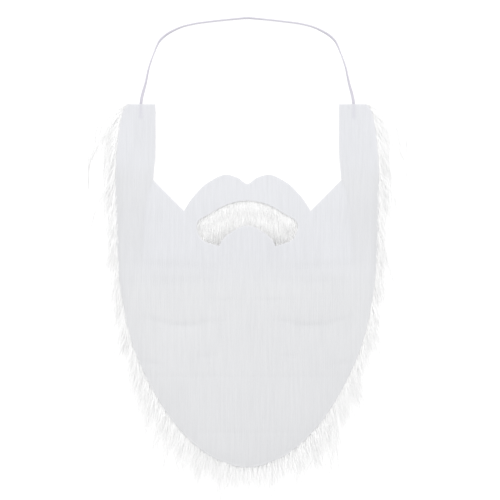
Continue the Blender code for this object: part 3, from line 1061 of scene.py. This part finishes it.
def strand_tree():
    """Grows strands on points: each point is a lock and carries the facts that are read here."""
    group = bpy.data.node_groups.new("fur strands", "GeometryNodeTree")
    tree = Tree(group)
    group.interface.new_socket("Geometry", in_out="INPUT", socket_type="NodeSocketGeometry")
    for name, kind, value in STRAND_INPUTS:
        socket = group.interface.new_socket(name, in_out="INPUT", socket_type=kind)
        if value is not None:
            socket.default_value = value
    group.interface.new_socket("Geometry", in_out="OUTPUT", socket_type="NodeSocketGeometry")
    entry = group.nodes.new("NodeGroupInput")
    given = {socket.name: Term(group, socket) for socket in entry.outputs if socket.name}

    def fact(name, kind="FLOAT"):
        return tree.add("GeometryNodeInputNamedAttribute", {"data_type": kind}, {"Name": name})

    def stored(shapes, name, value, kind="FLOAT"):
        return tree.add("GeometryNodeStoreNamedAttribute", {"data_type": kind, "domain": "POINT"},
                        {"Geometry": shapes, "Name": name, "Value": value})

    points = tree.add("GeometryNodeMeshToPoints", None, {"Mesh": given["Geometry"]})
    points = tree.add("GeometryNodeDuplicateElements", {"domain": "POINT"},
                      {"Geometry": points, "Amount": given["Strands per lock"]})
    ranges = {"across": (-1.0, 1.0), "deep": (-1.0, 1.0), "reach": (0.0, 1.0), "tone": (0.0, 1.0),
              "phase": (0.0, 6.28), "stray": (-1.0, 1.0)}
    for step, (name, (low, high)) in enumerate(ranges.items()):
        limits = {RANDOM_LOW: low, RANDOM_HIGH: high, RANDOM_SEED: given["Seed"] + 17.0 * step}
        value = tree.add(
            "FunctionNodeRandomValue", {"data_type": "FLOAT"}, limits, RANDOM_NUMBER)
        points = stored(points, name, value)
    root = tree.add("GeometryNodeInputPosition")
    points = stored(points, "root", root, "FLOAT_VECTOR")

    line = tree.add("GeometryNodeCurvePrimitiveLine")
    line = tree.add("GeometryNodeResampleCurve", None,
                    {"Curve": line, "Count": given["Points per strand"]})
    strands = tree.add("GeometryNodeInstanceOnPoints", None, {"Points": points, "Instance": line})
    strands = tree.add("GeometryNodeRealizeInstances", None, {"Geometry": strands})
    strands = stored(strands, "along", tree.add("GeometryNodeSplineParameter"))

    along = fact("along")
    wander = fact("stray") * fact("stray") * fact("stray") * given["Looseness"]
    root_lean = fact("root_lean") + wander
    tip_lean = fact("tip_lean") + wander
    root_run = (1.0 - (1.0 - along) ** 3.0) / 3.0
    tip_run = along - root_run
    narrowing = 1.0 - (1.0 - given["Tip share"]) * along ** 1.4
    wave = (fact("phase") + along * 7.0).sine() * given["Waviness"] * along
    sideways = fact("across") * fact("half_width") * narrowing + wave
    reach = given["Shortest"] + (given["Longest"] - given["Shortest"]) * fact("reach") ** 1.9
    length = fact("length") * reach
    strands = stored(strands, "run", along * length)
    outwards = length * (root_lean.sine() * root_run + tip_lean.sine() * tip_run)
    downwards = length * (root_lean.cosine() * root_run + tip_lean.cosine() * tip_run)
    x = outwards + sideways * root_lean.cosine()
    y = sideways * root_lean.sine() - downwards
    origin = fact("root", "FLOAT_VECTOR")
    root_x, root_y, root_z = [
        tree.add("ShaderNodeSeparateXYZ", None, {"Vector": origin}, axis) for axis in range(3)]
    drop = (fact("tip_z") - root_z) * along ** given["Drop curve"]
    depth = fact("deep") * fact("half_depth") * (1.0 - 0.5 * along)
    z = (root_z + drop + depth).at_most(fact("ceiling")).at_least(LOWEST_HAIR)
    x = (root_x + x).softly_within(-SIDE_LIMIT, SIDE_LIMIT, LIMIT_BLEND)
    y = (root_y + y).softly_within(-CHIN_LIMIT, FAR_ABOVE, LIMIT_BLEND)
    place = tree.add("ShaderNodeCombineXYZ", None, {"X": x, "Y": y, "Z": z})
    strands = tree.add("GeometryNodeSetPosition", None, {"Geometry": strands, "Position": place})
    strands = tree.add("GeometryNodeSetCurveTilt", None, {"Curve": strands, "Tilt": fact("phase")})
    radius = given["Strand radius"] * (1.0 - TAPER * along ** 1.5)
    section = tree.add(
        "GeometryNodeCurvePrimitiveCircle", None, {"Resolution": TUBE_SIDES, "Radius": 1.0})
    tubes = tree.add("GeometryNodeCurveToMesh", None, {"Curve": strands, "Profile Curve": section,
                                                       "Scale": radius, "Fill Caps": True})
    tubes = tree.add("GeometryNodeSetShadeSmooth", None, {"Geometry": tubes, "Shade Smooth": False})
    tubes = tree.add("GeometryNodeRealizeInstances", None, {"Geometry": tubes})
    tubes = tree.add("GeometryNodeSetMaterial", None, {"Geometry": tubes, "Material": given["Finish"]})
    tree.add("NodeGroupOutput", None, {"Geometry": tubes})
    return group


strand_nodes = strand_tree()
print("strand tree nodes:", len(strand_nodes.nodes))

# %% [markdown]
# ## The fur's finish
#
# White acrylic fur is never one white: each strand differs a little in tone. Strands are painted greyer
# near the root, as painted shade where light is lost among them, and a long thin end that lies alone over
# the floor is painted grey, as painted shade where nothing lights it from behind. The random tone and the
# run along the strand in metres were stored by the tree, so the finish reads them back. Light also passes
# through real strands and comes out between them, which solid tubes can't do, so the finish adds a weak
# glow of the same colour, which is painted light.

# %% The fur's finish
FUR_GLOW = 0.08
# How far out a hair is painted grey, and how far its root is painted in shade, in metres
GREY_RUN = 0.05
ROOT_RUN = 0.01


def fur_material():
    material, tree = new_material("white acrylic fur")
    tone = stored_number(tree, "tone")
    run = stored_number(tree, "run")
    root = (1.0 - run / ROOT_RUN).at_least(0.0)
    # The random tone is the strand's own. The greying far out and at the root is painted shade.
    shade = tone ** 1.6 * 0.3 + (run / GREY_RUN) ** 2.0 * 0.6 + root * 0.35
    colour = mixed_colour(
        tree, shade.at_most(1.0), (0.95, 0.95, 0.95, 1.0), (0.62, 0.62, 0.62, 1.0))
    finish_material(
        tree, {"Roughness": 0.6, "Sheen Weight": 0.25, "Emission Strength": FUR_GLOW},
        {"Base Color": colour, "Emission Color": colour})
    return material


def root_layer_material():
    material, tree = new_material("dense fur roots")
    place, _ = object_place(tree)
    stretch = tree.add("ShaderNodeMapping", None, {"Vector": place, "Scale": (900.0, 120.0, 500.0)})
    hair = tree.add("ShaderNodeTexNoise", None, {"Vector": stretch, "Scale": 1.0, "Detail": 4.0})
    colour = mixed_colour(tree, hair, (0.80, 0.80, 0.81, 1.0), (0.93, 0.93, 0.93, 1.0))
    bump = tree.add("ShaderNodeBump", None, {"Strength": 0.8, "Distance": 0.0008, "Height": hair})
    # The root layer gets the strands' weak glow too, as painted light.
    finish_material(
        tree, {"Roughness": 0.8, "Emission Strength": FUR_GLOW},
        {"Base Color": colour, "Emission Color": colour, "Normal": bump})
    return material


fur_finish = fur_material()
root_finish = root_layer_material()
for piece in (pile, mat):
    piece.data.materials.append(root_finish)
    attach(piece, BODY)
    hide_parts("beard_fur")

# %% [markdown]
# ## Growing the fur
#
# A mesh of points with their stored facts goes in, and a plain mesh of strands comes out. The fringe is
# grown as a right and a left piece, and the face as an upper and a lower one, because a piece of more
# than 200,000 triangles would be thinned when it is stored.

# %% Grow each piece
def grow(name, locks, sizes):
    """Turns a list of locks into one piece, a plain mesh of strands."""
    guide_mesh = bpy.data.meshes.new(name + "_locks")
    guide_mesh.from_pydata([root for root, _ in locks], [], [])
    for column, fact in enumerate(LOCK_FACTS):
        layer = guide_mesh.attributes.new(fact, "FLOAT", "POINT")
        layer.data.foreach_set("value", [facts[column] for _, facts in locks])
    guide = placed(name + "_locks", guide_mesh)
    modifier = guide.modifiers.new("strands", "NODES")
    modifier.node_group = strand_nodes
    values = {**sizes, "Finish": fur_finish}
    for item in strand_nodes.interface.items_tree:
        if item.in_out == "INPUT" and item.name in values:
            modifier[item.identifier] = values[item.name]
    depsgraph = bpy.context.evaluated_depsgraph_get()
    mesh = bpy.data.meshes.new_from_object(guide.evaluated_get(depsgraph))
    bpy.data.objects.remove(guide, do_unlink=True)
    mesh.name = name
    piece = placed(name, mesh)
    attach(piece, BODY)
    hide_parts("beard_fur")
    mesh.calc_loop_triangles()
    print(name, "triangles:", len(mesh.loop_triangles))


FRINGE_SIZES = {"Strands per lock": 16, "Strand radius": 0.00018, "Tip share": 0.9,
                "Drop curve": 1.8, "Shortest": 0.4, "Longest": 1.25, "Waviness": 0.0012,
                "Looseness": 0.5}
FACE_SIZES = {"Strands per lock": 20, "Strand radius": 0.00032, "Tip share": 0.4,
              "Waviness": 0.0012, "Looseness": 0.2}
MOUTH_SIZES = {"Strands per lock": 20, "Strand radius": 0.00020, "Tip share": 1.0,
               "Drop curve": 0.6, "Shortest": 0.7, "Waviness": 0.0012, "Looseness": 0.5}

grow("fringe_right", right_fringe, {**FRINGE_SIZES, "Seed": 101})
grow("fringe_left", left_fringe, {**FRINGE_SIZES, "Seed": 202})
grow("face_fur_upper", [entry for entry in face if entry[0][1] > 0.0], {**FACE_SIZES, "Seed": 303})
grow("face_fur_lower", [entry for entry in face if entry[0][1] <= 0.0], {**FACE_SIZES, "Seed": 404})
grow("moustache_fur", moustache, {**MOUTH_SIZES, "Seed": 505})
grow("moustache_lip", lip, {**MOUTH_SIZES, "Drop curve": 1.4, "Seed": 606})
